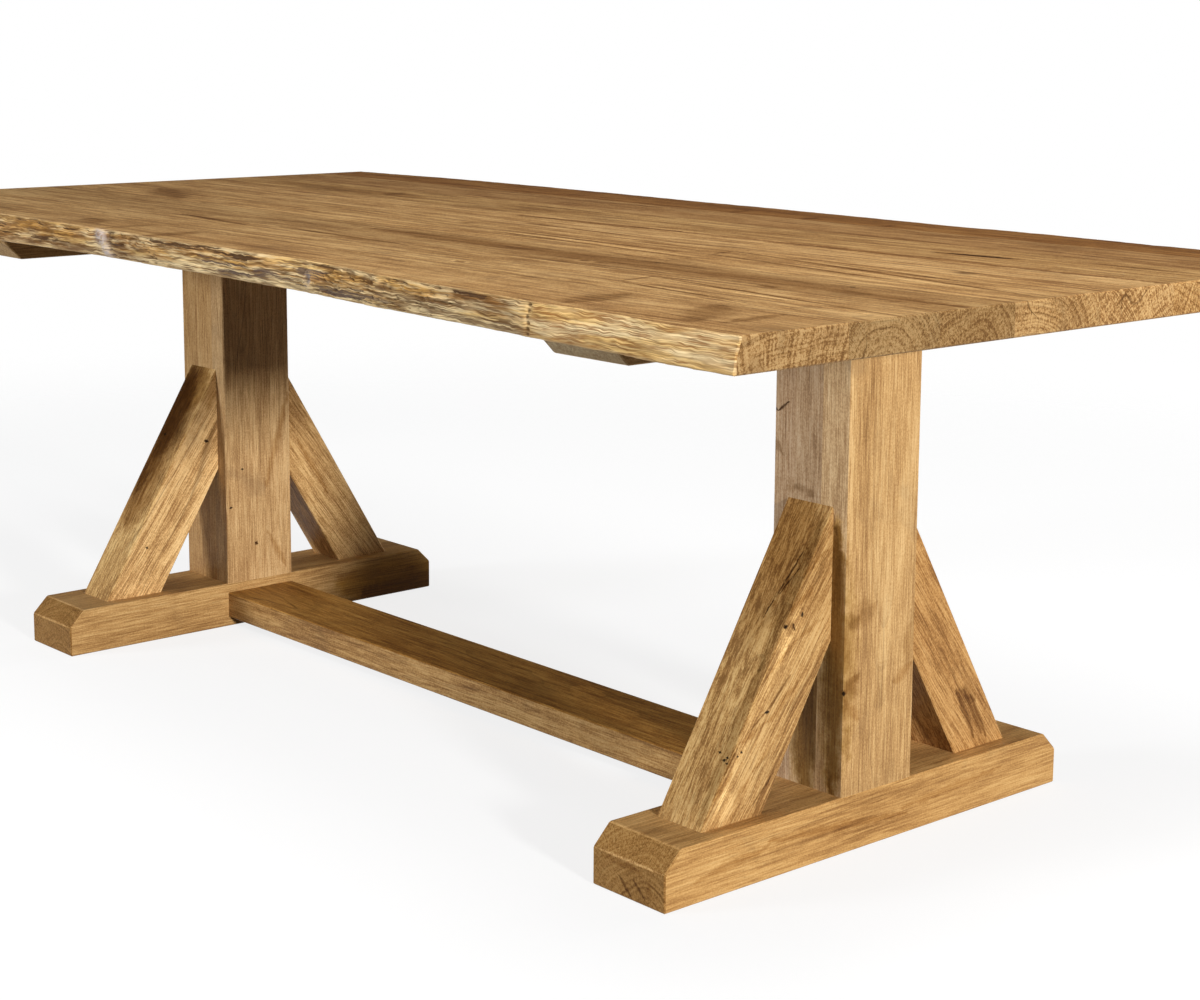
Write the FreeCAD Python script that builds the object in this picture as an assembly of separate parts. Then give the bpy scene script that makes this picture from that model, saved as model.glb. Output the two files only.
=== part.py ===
import FreeCAD, Part
import math
import os

# Trestle dining table with a plank top that keeps its natural edges.
# Millimetres, +Z up, origin on the floor under the middle of the top.
# +X runs along the top and -Y is the front edge.

# Tabletop, with its width taken over the outermost points of both live edges
table_height = 762.0
top_length = 2235.0
top_width = 1164.0
top_thickness = 41.0
front_plank_width = 169.0
back_plank_width = 132.0
inner_plank_shares = (0.170, 0.150, 0.184, 0.169, 0.170, 0.157)

# Live edges: how far the lower line draws in from the outermost one, how far the
# upper line lies behind the lower one, and how far the face swells between the two
live_edge_wander = 80.0
live_edge_flare = 20.0
live_edge_belly = 7.0

# Evenly spaced along the top, from its left end to its right end
front_inset_shares = (0.57, 0.65, 0.72, 0.80, 0.85, 0.91, 0.99, 0.99, 0.93, 0.93,
                      0.85, 0.79, 0.62, 0.53, 0.43, 0.29, 0.18, 0.07, 0.00)
front_flare_shares = (0.60, 0.70, 0.80, 0.90, 1.00, 0.55, 0.15, 0.05, 0.00, 0.20,
                      0.10, 0.40, 0.35, 0.00, 0.10, 0.15, 0.50, 0.45, 0.55)
front_belly_shares = (0.50, 0.60, 0.75, 0.90, 0.80, 0.65, 0.90, 0.70, 0.85, 0.75,
                      0.60, 0.90, 0.70, 0.55, 0.60, 0.45, 0.50, 0.40, 0.30)
back_inset_shares = (0.42, 0.23, 0.13, 0.07, 0.01, 0.03, 0.05, 0.06, 0.10, 0.15,
                     0.19, 0.23, 0.23, 0.24, 0.27, 0.35, 0.36, 0.36, 0.38)
back_flare_shares = (0.35, 0.45, 0.30, 0.25, 0.30, 0.25, 0.30, 0.45, 0.40, 0.30,
                     0.20, 0.35, 0.55, 0.60, 0.40, 0.30, 0.45, 0.35, 0.40)
back_belly_shares = (0.40, 0.55, 0.70, 0.60, 0.40, 0.35, 0.50, 0.65, 0.80, 0.60,
                     0.70, 0.90, 0.75, 0.60, 0.85, 0.70, 0.55, 0.65, 0.50)

# Posts, each glued up from three boards, and how far the top runs on past their middles
end_overhang = 376.5
post_depth = 135.0
post_outer_thickness = 48.0
post_core_thickness = 48.0
post_inner_thickness = 37.5

# Diagonal braces, measured from the post's face and from the top of the foot
brace_width = 82.0
brace_thickness = 92.0
brace_foot_reach = 227.5
brace_post_rise = 383.0

# Feet, which run on past the braces, and the bearers, which stop short of the live edges
foot_height = 77.0
foot_chamfer = 27.0
foot_toe_length = 58.0
bearer_thickness = 39.0
bearer_chamfer = 27.0
bearer_inset = 109.0

# Stretcher
stretcher_width = 135.0
stretcher_thickness = 45.0

# Sharp edges are taken off by this much
arris = 1.8

# Tenons, the wood left between those that meet in a foot, and the room for glue
post_tenon_depth = 80.0
foot_tenon_share = 0.65
bearer_tenon_share = 0.40
stretcher_tenon_width = 70.0
stretcher_tenon_thickness = 22.0
tenon_wall = 3.5
joint_clearance = 0.3

# Lag screws with six-sided heads, which hold the posts and braces
lag_diameter = 8.0
lag_length = 110.0
lag_head_diameter = 15.0
lag_head_height = 6.0
post_lag_spread = 44.0
brace_lag_recess = 25.0

# Smaller screws, which hold the top and lock the stretcher
screw_diameter = 6.0
screw_length = 55.0
screw_head_diameter = 12.0
screw_head_height = 4.0
lock_screw_spread = 36.0
top_screw_shares = (-0.40, -0.15, 0.15, 0.40)

# Washers, in slots that let the top swell and shrink
washer_diameter = 20.0
washer_thickness = 2.0
slot_travel = 10.0

# Recesses: the room round a head, and how deep the head lies below the surface
recess_clearance = 2.0
head_cover = 4.0

# Dowels between the braces and the posts
dowel_diameter = 12.0
dowel_length = 60.0
dowel_height_shares = (0.22, 0.52)

# How far a cutting shape runs past the face that it cuts
overrun = 5.0

# Levels, half sizes and lengths that follow from the values above
top_underside = table_height - top_thickness
bearer_underside = top_underside - bearer_thickness
trestle_spacing = top_length - 2 * end_overhang
half_top_length = top_length / 2
half_top_width = top_width / 2
front_joint = front_plank_width - half_top_width
back_joint = half_top_width - back_plank_width
half_post = post_depth / 2
half_trestle = (post_outer_thickness + post_core_thickness + post_inner_thickness) / 2
core_outer_face = half_trestle - post_outer_thickness
core_inner_face = core_outer_face - post_core_thickness
core_middle = (core_outer_face + core_inner_face) / 2
brace_toe = half_post + brace_foot_reach
foot_length = 2 * (brace_toe + foot_toe_length + foot_chamfer)
bearer_length = top_width - 2 * bearer_inset
foot_tenon_length = foot_tenon_share * foot_height
bearer_tenon_length = bearer_tenon_share * bearer_thickness
stretcher_tenon_length = post_inner_thickness - tenon_wall
stretcher_level = foot_height / 2
stretcher_half_length = trestle_spacing / 2 - half_trestle

# The brace's slope, and where its inner face meets the foot and the post
brace_slope = math.atan2(brace_post_rise, brace_foot_reach)
brace_heel = brace_toe - brace_thickness / math.sin(brace_slope)
brace_seat_height = brace_thickness / math.cos(brace_slope)
brace_head = foot_height + brace_post_rise

# Seats of the screw heads, as levels
lag_recess = lag_head_height + head_cover
lock_recess = screw_head_height + head_cover
slot_recess = screw_head_height + washer_thickness + head_cover
bearer_lag_level = top_underside - lag_recess
top_screw_level = bearer_underside + slot_recess - washer_thickness

up = FreeCAD.Vector(0, 0, 1)
down = FreeCAD.Vector(0, 0, -1)
lengthwise = FreeCAD.Vector(1, 0, 0)
sides = {"right": 1, "left": -1}
faces = {"front": -1, "back": 1}
angle_tolerance = 1e-6


# Plain shapes
def vector(x, y, z):
    return FreeCAD.Vector(x, y, z)


def along_x(side, offset):
    """Place along X of an offset from a trestle's middle, counted outwards."""
    return side * (trestle_spacing / 2 + offset)


def block(x_range, y_range, z_range):
    """Box between two places on each axis, given in either order."""
    low = [min(pair) for pair in (x_range, y_range, z_range)]
    high = [max(pair) for pair in (x_range, y_range, z_range)]
    size = [b - a for a, b in zip(low, high)]
    return Part.makeBox(size[0], size[1], size[2], vector(*low))


def prism(corners, run):
    """Flat outline of corners carried along a run."""
    face = Part.Face(Part.makePolygon(corners + corners[:1]))
    return face.extrude(run)


def trestle_prism(outline, side, half_width):
    """Outline of (y, z) points carried along X across a trestle's middle."""
    start = side * trestle_spacing / 2 - half_width
    return prism([vector(start, y, z) for y, z in outline], vector(2 * half_width, 0, 0))


def cylinder(diameter, length, start, direction):
    return Part.makeCylinder(diameter / 2, length, start, direction)


def loose(diameter):
    """Diameter of the bore that a shank or dowel of this diameter goes into."""
    return diameter + 2 * joint_clearance


def is_along(edge, direction):
    run = (edge.Vertexes[1].Point - edge.Vertexes[0].Point).normalize()
    return abs(abs(run.dot(direction)) - 1) < angle_tolerance


def eased(shape, edges):
    return shape.makeChamfer(arris, edges)


def carved(shape, cutters):
    """Shape less its mortises and holes, as one solid."""
    return shape.cut(cutters).removeSplitter().Solids[0]


def export(name, shape):
    shape.exportStep("parts/" + name + ".step")


def export_group(name, shapes):
    export(name, Part.makeCompound(shapes))


# Fasteners: each one starts at its seat, the face that its head bears on
def shank(diameter, length, seat, direction):
    straight = cylinder(diameter, length - diameter, seat, direction)
    tip_start = seat + direction * (length - diameter)
    return straight.fuse(Part.makeCone(diameter / 2, 0, diameter, tip_start, direction))


def lag(seat, direction):
    corners = []
    for index in range(6):
        turn = math.radians(60 * index)
        spoke = vector(math.cos(turn), math.sin(turn), 0)
        corners.append(seat + spoke * (lag_head_diameter / 2))
    head = prism(corners, direction * -lag_head_height)
    return head.fuse(shank(lag_diameter, lag_length, seat, direction)).removeSplitter().Solids[0]


def screw(seat):
    head = cylinder(screw_head_diameter, screw_head_height, seat, down)
    return head.fuse(shank(screw_diameter, screw_length, seat, up)).removeSplitter().Solids[0]


def washer(seat):
    disc = cylinder(washer_diameter, washer_thickness, seat, up)
    return disc.cut(cylinder(loose(screw_diameter), washer_thickness, seat, up))


def bore(diameter, length, seat, direction, head_diameter, recess_depth):
    """Hole for a shank, and the recess that the head lies in before its seat."""
    hole = cylinder(loose(diameter), length + joint_clearance, seat, direction)
    recess = cylinder(head_diameter + 2 * recess_clearance, recess_depth + overrun, seat,
                      direction * -1)
    return hole.fuse(recess)


def lag_bore(seat, direction, recess_depth):
    return bore(lag_diameter, lag_length, seat, direction, lag_head_diameter, recess_depth)


def lock_screw_bores(side):
    return [bore(screw_diameter, screw_length, seat, up, screw_head_diameter, lock_recess)
            for seat in lock_screw_seats(side)]


# Where the fasteners of one trestle have their seats
def post_lag_seats(side, level):
    return [vector(along_x(side, core_middle), face * post_lag_spread / 2, level)
            for face in faces.values()]


def brace_lag_seat(side, face):
    return vector(along_x(side, 0), face * (brace_toe + brace_heel) / 2, brace_lag_recess)


def lock_screw_seats(side):
    place = along_x(side, stretcher_tenon_length / 2 - half_trestle)
    return [vector(place, face * lock_screw_spread / 2, lock_recess) for face in faces.values()]


def top_screw_seats(side):
    return [vector(along_x(side, 0), share * bearer_length, top_screw_level)
            for share in top_screw_shares]


def dowels(side, face, room):
    """Dowels across the joint of a brace and its post, half their length in each."""
    start = face * (half_post - dowel_length / 2 - room)
    made = []
    for share in dowel_height_shares:
        level = brace_head - brace_seat_height * (1 - share)
        made.append(cylinder(dowel_diameter + 2 * room, dowel_length + 2 * room,
                             vector(along_x(side, core_middle), start, level),
                             vector(0, face, 0)))
    return made


# Tabletop
def edge_rails(face, inset_shares, flare_shares, belly_shares):
    """Upper, middle and lower lines of a live edge, from the left end to the right end."""
    step = top_length / (len(inset_shares) - 1)
    levels = (table_height, (table_height + top_underside) / 2, top_underside)
    rails = ([], [], [])
    for index, shares in enumerate(zip(inset_shares, flare_shares, belly_shares)):
        inset, flare, belly = shares
        lower = half_top_width - inset * live_edge_wander
        upper = lower - flare * live_edge_flare
        middle = (upper + lower) / 2 + belly * live_edge_belly
        for rail, reach, level in zip(rails, (upper, middle, lower), levels):
            rail.append(vector(index * step - half_top_length, face * reach, level))
    return rails


def closing_face(edge, first, last):
    """Flat face between an edge of the bark side and the straight line from first to last."""
    ends = sorted(edge.Vertexes, key=lambda vertex: vertex.Point.sub(first).Length)
    lines = [Part.makeLine(ends[0].Point, first), Part.makeLine(first, last),
             Part.makeLine(last, ends[1].Point)]
    return Part.Face(Part.Wire(Part.__sortEdges__([edge] + lines)))


def live_edge_plank(face, joint, *share_tables):
    """Plank with one natural edge: flat faces sewn to a surface lofted through three rails."""
    lines = []
    for rail in edge_rails(face, *share_tables):
        curve = Part.BSplineCurve()
        curve.interpolate(rail)
        lines.append(Part.Wire(curve.toShape()))
    bark_side = Part.makeLoft(lines, False, False).Faces[0]
    levels = (table_height, top_underside)
    corners = {(end, level): vector(end * half_top_length, joint, level)
               for end in (-1, 1) for level in levels}
    sheets = [bark_side]
    middle_level = sum(levels) / 2
    for edge in bark_side.Edges:
        points = [vertex.Point for vertex in edge.Vertexes]
        if points[0].x * points[1].x < 0:
            level = max(levels) if points[0].z > middle_level else min(levels)
            sheets.append(closing_face(edge, corners[(-1, level)], corners[(1, level)]))
        else:
            end = math.copysign(1, points[0].x)
            sheets.append(closing_face(edge, corners[(end, levels[0])], corners[(end, levels[1])]))
    back = [corners[key] for key in ((-1, levels[0]), (1, levels[0]), (1, levels[1]),
                                     (-1, levels[1]))]
    sheets.append(Part.Face(Part.makePolygon(back + back[:1])))
    shell = Part.makeShell(sheets)
    shell.sewShape()
    solid = Part.Solid(Part.Shell(shell.Faces))
    if solid.Volume < 0:
        solid.reverse()
    return solid


def end_arris_cutters():
    """Slivers that take off the sharp edges across both ends of the top."""
    cutters = []
    reach = half_top_width + overrun
    for end in (-1, 1):
        for level, inward in ((table_height, -1), (top_underside, 1)):
            corner = vector(end * half_top_length, -reach, level)
            along = corner - lengthwise * (end * arris)
            across = corner + up * (inward * arris)
            cutters.append(prism([corner, along, across], vector(0, 2 * reach, 0)))
    return cutters


def make_tabletop():
    cutters = end_arris_cutters()
    for side in sides.values():
        cutters += [cylinder(loose(screw_diameter), screw_length + joint_clearance, seat, up)
                    for seat in top_screw_seats(side)]
    front = live_edge_plank(-1, front_joint, front_inset_shares, front_flare_shares,
                            front_belly_shares)
    back = live_edge_plank(1, back_joint, back_inset_shares, back_flare_shares,
                           back_belly_shares)
    export("front_live_edge_plank", carved(front, cutters))
    export("back_live_edge_plank", carved(back, cutters))
    field = back_joint - front_joint
    glue_line = front_joint
    for number, share in enumerate(inner_plank_shares, start=2):
        next_line = glue_line + field * share / sum(inner_plank_shares)
        plank = block((-half_top_length, half_top_length), (glue_line, next_line),
                      (top_underside, table_height))
        export("top_plank_%d" % number, carved(plank, cutters))
        glue_line = next_line


# Trestles
def post_tenon(side, level, length, room):
    """Tenon of the core board, rising or falling from a level, with room round it."""
    half = post_tenon_depth / 2 + room
    sense = math.copysign(1, length)
    return block((along_x(side, core_inner_face - room), along_x(side, core_outer_face + room)),
                 (-half, half), (level - sense * room, level + length + sense * room))


def stretcher_tenon(side, room):
    half = stretcher_tenon_width / 2 + room
    rise = stretcher_tenon_thickness / 2 + room
    start = along_x(side, -half_trestle - room)
    end = along_x(side, stretcher_tenon_length - half_trestle + room)
    return block((start, end), (-half, half), (stretcher_level - rise, stretcher_level + rise))


def bevelled_bar(side, length, chamfer, plain_level, bevel_level):
    """Bar across a trestle whose ends are bevelled towards one of its two levels."""
    shoulder = bevel_level - math.copysign(chamfer, bevel_level - plain_level)
    half = length / 2
    outline = [(-half, plain_level), (half, plain_level), (half, shoulder),
               (half - chamfer, bevel_level), (chamfer - half, bevel_level), (-half, shoulder)]
    return trestle_prism(outline, side, half_trestle)


def make_foot(side):
    bar = bevelled_bar(side, foot_length, foot_chamfer, 0, foot_height)
    cutters = [lag_bore(seat, up, lag_recess) for seat in post_lag_seats(side, lag_recess)]
    cutters += [lag_bore(brace_lag_seat(side, face), up, brace_lag_recess)
                for face in faces.values()]
    cutters += lock_screw_bores(side)
    cutters += [post_tenon(side, foot_height, -foot_tenon_length, joint_clearance),
                stretcher_tenon(side, joint_clearance)]
    return carved(eased(bar, bar.Edges), cutters)


def oblong(width, level, height, seat):
    """Upright cutter with round ends, drawn out along Y by the slot's travel."""
    half = slot_travel / 2
    ends = [cylinder(width, height, vector(seat.x, seat.y + shift, level), up)
            for shift in (-half, half)]
    middle = block((seat.x - width / 2, seat.x + width / 2), (seat.y - half, seat.y + half),
                   (level, level + height))
    return middle.fuse(ends).removeSplitter()


def movement_slot(seat):
    """Slot for a top screw, and the wider recess below it for the washer and the head."""
    slot = oblong(loose(screw_diameter), bearer_underside, bearer_thickness + overrun, seat)
    recess = oblong(washer_diameter + 2 * recess_clearance, bearer_underside - overrun,
                    slot_recess + overrun, seat)
    return [slot, recess]


def make_bearer(side):
    bar = bevelled_bar(side, bearer_length, bearer_chamfer, top_underside, bearer_underside)
    free = [edge for edge in bar.Edges if edge.CenterOfMass.z < top_underside - arris]
    cutters = [lag_bore(seat, down, lag_recess) for seat in post_lag_seats(side, bearer_lag_level)]
    cutters.append(post_tenon(side, bearer_underside, bearer_tenon_length, joint_clearance))
    for seat in top_screw_seats(side):
        cutters += movement_slot(seat)
    return carved(eased(bar, free), cutters)


def make_post_cheek(side, glued_offset, free_offset):
    """Outer or inner board of a post, with the two edges of its free face eased."""
    free_face = along_x(side, free_offset)
    board = block((along_x(side, glued_offset), free_face), (-half_post, half_post),
                  (foot_height, bearer_underside))
    free = [edge for edge in board.Edges
            if is_along(edge, up) and abs(edge.CenterOfMass.x - free_face) < arris]
    return carved(eased(board, free), lock_screw_bores(side))


def make_post_core(side):
    board = block((along_x(side, core_inner_face), along_x(side, core_outer_face)),
                  (-half_post, half_post), (foot_height, bearer_underside))
    tenons = [post_tenon(side, foot_height, -foot_tenon_length, 0),
              post_tenon(side, bearer_underside, bearer_tenon_length, 0)]
    cutters = [hole for face in faces.values() for hole in dowels(side, face, joint_clearance)]
    cutters += [lag_bore(seat, up, lag_recess) for seat in post_lag_seats(side, lag_recess)]
    cutters += [lag_bore(seat, down, lag_recess)
                for seat in post_lag_seats(side, bearer_lag_level)]
    return carved(board.fuse(tenons), cutters)


def make_brace(side, face):
    outline = [(face * brace_toe, foot_height), (face * brace_heel, foot_height),
               (face * half_post, brace_head - brace_seat_height),
               (face * half_post, brace_head)]
    bar = trestle_prism(outline, side, brace_width / 2)
    slope = vector(0, -face * math.cos(brace_slope), math.sin(brace_slope))
    long_edges = [edge for edge in bar.Edges if is_along(edge, slope)]
    cutters = dowels(side, face, joint_clearance)
    cutters.append(lag_bore(brace_lag_seat(side, face), up, brace_lag_recess))
    return carved(eased(bar, long_edges), cutters)


def make_stretcher():
    half_width = stretcher_width / 2
    half_thickness = stretcher_thickness / 2
    bar = block((-stretcher_half_length, stretcher_half_length), (-half_width, half_width),
                (stretcher_level - half_thickness, stretcher_level + half_thickness))
    long_edges = [edge for edge in bar.Edges if is_along(edge, lengthwise)]
    tenons = [stretcher_tenon(side, 0) for side in sides.values()]
    bores = [hole for side in sides.values() for hole in lock_screw_bores(side)]
    return carved(eased(bar, long_edges).fuse(tenons), bores)


def make_fasteners(name, side):
    export_group(name + "_post_foot_lags",
                 [lag(seat, up) for seat in post_lag_seats(side, lag_recess)])
    export_group(name + "_post_bearer_lags",
                 [lag(seat, down) for seat in post_lag_seats(side, bearer_lag_level)])
    export_group(name + "_brace_lags",
                 [lag(brace_lag_seat(side, face), up) for face in faces.values()])
    export_group(name + "_brace_dowels",
                 [dowel for face in faces.values() for dowel in dowels(side, face, 0)])
    export_group(name + "_stretcher_screws", [screw(seat) for seat in lock_screw_seats(side)])
    export_group(name + "_top_screws", [screw(seat) for seat in top_screw_seats(side)])
    export_group(name + "_top_washers", [washer(seat) for seat in top_screw_seats(side)])


def make_trestle(name, side):
    export(name + "_foot", make_foot(side))
    export(name + "_top_bearer", make_bearer(side))
    export(name + "_post_outer_board", make_post_cheek(side, core_outer_face, half_trestle))
    export(name + "_post_core_board", make_post_core(side))
    export(name + "_post_inner_board", make_post_cheek(side, core_inner_face, -half_trestle))
    for face_name, face in faces.items():
        export(name + "_" + face_name + "_brace", make_brace(side, face))
    make_fasteners(name, side)


os.makedirs("parts", exist_ok=True)
make_tabletop()
for side_name, side_sign in sides.items():
    make_trestle(side_name, side_sign)
export("stretcher", make_stretcher())
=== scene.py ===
import math
from dataclasses import dataclass
from functools import partial

import bmesh
import bpy
from mathutils import Matrix, Vector, noise
from mathutils.bvhtree import BVHTree


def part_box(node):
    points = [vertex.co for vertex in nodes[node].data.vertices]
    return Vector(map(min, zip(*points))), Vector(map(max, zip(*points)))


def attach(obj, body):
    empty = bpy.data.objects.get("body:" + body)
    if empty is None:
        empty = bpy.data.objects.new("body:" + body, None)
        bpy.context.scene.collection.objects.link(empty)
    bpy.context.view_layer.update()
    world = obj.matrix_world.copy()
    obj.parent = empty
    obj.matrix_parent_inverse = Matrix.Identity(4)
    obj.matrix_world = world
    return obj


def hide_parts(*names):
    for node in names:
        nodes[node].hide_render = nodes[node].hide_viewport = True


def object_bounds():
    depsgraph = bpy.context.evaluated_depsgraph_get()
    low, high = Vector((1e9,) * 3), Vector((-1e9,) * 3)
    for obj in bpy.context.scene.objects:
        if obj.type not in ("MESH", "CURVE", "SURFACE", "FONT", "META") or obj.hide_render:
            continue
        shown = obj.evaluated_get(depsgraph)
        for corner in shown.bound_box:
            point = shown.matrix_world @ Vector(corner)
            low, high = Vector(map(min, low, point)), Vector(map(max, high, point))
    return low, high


# Trestle dining table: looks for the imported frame. Metres, +Z up, -Y is the front edge.

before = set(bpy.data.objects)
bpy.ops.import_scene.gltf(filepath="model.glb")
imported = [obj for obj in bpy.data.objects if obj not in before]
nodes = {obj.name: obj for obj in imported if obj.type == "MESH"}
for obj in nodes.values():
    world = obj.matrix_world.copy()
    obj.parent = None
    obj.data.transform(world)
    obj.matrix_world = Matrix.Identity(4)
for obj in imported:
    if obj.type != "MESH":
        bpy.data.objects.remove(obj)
cad_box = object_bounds()

# Camera, where the photograph was taken from
camera_place = Vector((2.7322, -2.1776, 1.0773))
camera_turn = math.radians(48.74)
camera_dip = math.radians(9.538)
camera_roll = math.radians(0.343)
camera_lens = 68.40
camera_sensor = 36.0
camera_shift = -0.0833

# Studio: the floor, just below the feet, fades out into a white surround
floor_clear_radius = 2.4
floor_fade_radius = 4.4
floor_reach = 6.0
floor_level = -0.0005
floor_colour = (0.22, 0.219, 0.217)
floor_glow = 0.815
surround_light = 0.045
drape_top = 0.85
drape_foot = 0.45
drape_level = 0.03

# Stained maple, from its dark streaks to its palest wood
wood_dark = (0.215, 0.106, 0.037)
wood_brown = (0.375, 0.208, 0.078)
wood_gold = (0.5, 0.298, 0.12)
wood_pale = (0.63, 0.415, 0.19)
line_brown = (0.085, 0.04, 0.014)
smudge_brown = (0.19, 0.108, 0.048)
ring_count = 150.0
ring_taper = 0.030

# Wood under the bark; bark_lilac is also the painted highlight on the collars, and bark_dark the painted
# shade in the hollows
bark_cream = (0.88, 0.665, 0.355)
bark_gold = (0.79, 0.51, 0.19)
bark_amber = (0.56, 0.29, 0.068)
bark_tan = (0.6, 0.345, 0.125)
bark_brown = (0.25, 0.115, 0.034)
bark_grey = (0.1, 0.062, 0.048)
bark_lilac = (0.52, 0.44, 0.4)
bark_line = (0.125, 0.055, 0.018)
bark_rust = (0.235, 0.092, 0.022)
bark_dark = (0.07, 0.034, 0.016)

# Finish, and how far the braces' grain runs off their length
lacquer_shine = {"Specular IOR Level": 0.12}
wood_bump = 0.0004
steel_shine = {"Metallic": 1.0}
steel_bump = 0.00008
brace_grain_slope = math.radians(6.5)
steel_colour = (0.56, 0.57, 0.58)

# How strongly the figure of each kind of board shows
top_figure = dict(streak=2.9, flame=0.60, fine=1.6)
post_figure = dict(streak=0.42, lines=0.40, fine=1.1, ends=0.60)
foot_figure = dict(post_figure, streak=0.55)
brace_figure = dict(streak=1.6, flame=1.0, lines=0.5, fine=1.7)
bold_brace_figure = dict(brace_figure, streak=2.3, lines=0.8)
stretcher_figure = dict(streak=1.7, fine=1.5)

# Live edges: spacing of the mesh, the rounding of its edges, and the relief under the bark
edge_step = 0.0022
edge_rows = 24
edge_round = 0.0022
edge_round_rows = 4
end_arris = 0.0018
cast_margin = 0.003
edge_wave = 0.0034
edge_lumps = 0.0014
edge_fibres = 0.0010
edge_cracks = 0.0019
collar_rise = 0.0040
collar_width = 0.014
collar_trough = 0.0008
trough_width = 0.012
trough_aside = 0.020
knot_rim = 0.0022
knot_hollow = 0.0042
dent_depth = 0.0036
dent_radius = 0.0022
dent_stray = 0.0015
run_fade = 0.05
stretch_fade = 0.03
relief_scale = 0.0030


class Graph:
    """Makes shader nodes in one tree. An input takes a number, a colour, a vector or a socket."""

    def __init__(self, tree):
        self.tree = tree

    def node(self, kind, inputs=None, **settings):
        made = self.tree.nodes.new("ShaderNode" + kind)
        for name, value in settings.items():
            setattr(made, name, value)
        for key, value in (inputs or {}).items():
            self.feed(made.inputs[key], value)
        return made

    def feed(self, socket, value):
        if isinstance(value, bpy.types.NodeSocket):
            self.tree.links.new(value, socket)
        elif socket.type == "RGBA" and len(value) == 3:
            socket.default_value = (*value, 1)
        else:
            socket.default_value = value

    def math(self, operation, *values):
        return self.node("Math", dict(enumerate(values)), operation=operation).outputs[0]

    def vector(self, operation, *values):
        made = self.node("VectorMath", dict(enumerate(values)), operation=operation)
        return made.outputs["Value" if operation in ("DOT_PRODUCT", "LENGTH") else "Vector"]

    def join(self, x, y, z):
        return self.node("CombineXYZ", {"X": x, "Y": y, "Z": z}).outputs[0]

    def split(self, vector):
        return self.node("SeparateXYZ", {0: vector}).outputs

    def noise(self, place, stretch, detail=2.0, roughness=0.5, distortion=0.0, colour=False):
        """Noise whose cells measure one metre over the stretch on each axis."""
        made = self.node("TexNoise", {"Vector": self.vector("MULTIPLY", place, stretch), "Scale": 1.0,
                                      "Detail": detail, "Roughness": roughness,
                                      "Distortion": distortion})
        return made.outputs["Color" if colour else "Fac"]

    def stray(self, place, stretch, detail=2.0, roughness=0.5):
        """Noise vector about zero."""
        cloud = self.noise(place, stretch, detail, roughness, colour=True)
        return self.vector("SUBTRACT", cloud, (0.5, 0.5, 0.5))

    def line_noise(self, value, scale, detail=2.0):
        """Noise along a single measure."""
        made = self.node("TexNoise", {"W": value, "Scale": scale, "Detail": detail},
                         noise_dimensions="1D")
        return made.outputs["Fac"]

    def step(self, value, low, high, to_low=0.0, to_high=1.0):
        """Smooth step from one level to another."""
        made = self.node("MapRange", {"Value": value, "From Min": low, "From Max": high,
                                      "To Min": to_low, "To Max": to_high},
                         interpolation_type="SMOOTHSTEP")
        return made.outputs[0]

    def thread(self, value, width):
        """1 along the fine lines where a noise crosses its middle, else 0."""
        return self.step(self.math("ABSOLUTE", self.math("SUBTRACT", value, 0.5)), 0.0, width, 1.0, 0.0)

    def mix(self, factor, first, second, blend="MIX"):
        made = self.node("Mix", data_type="RGBA", blend_type=blend)
        for index, value in ((0, factor), (6, first), (7, second)):
            self.feed(made.inputs[index], value)
        return made.outputs[2]

    def clamped(self, operation, *values):
        made = self.node("Math", dict(enumerate(values)), operation=operation, use_clamp=True)
        return made.outputs[0]

    def shade(self, vector, level):
        """Vector or colour times a level."""
        made = self.node("VectorMath", {0: vector, "Scale": level}, operation="SCALE")
        return made.outputs[0]

    def ramp(self, factor, stops):
        made = self.node("ValToRGB", {"Fac": factor})
        points = made.color_ramp.elements
        while len(points) < len(stops):
            points.new(1.0)
        for point, (place, colour) in zip(points, stops):
            point.position = place
            point.color = (*colour, 1)
        return made.outputs["Color"]


def new_group(name, inputs, outputs):
    group = bpy.data.node_groups.new(name, "ShaderNodeTree")
    for title, kind in inputs:
        group.interface.new_socket(title, in_out="INPUT", socket_type="NodeSocket" + kind)
    for title, kind in outputs:
        group.interface.new_socket(title, in_out="OUTPUT", socket_type="NodeSocket" + kind)
    return group, group.nodes.new("NodeGroupInput").outputs, group.nodes.new("NodeGroupOutput").inputs


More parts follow.
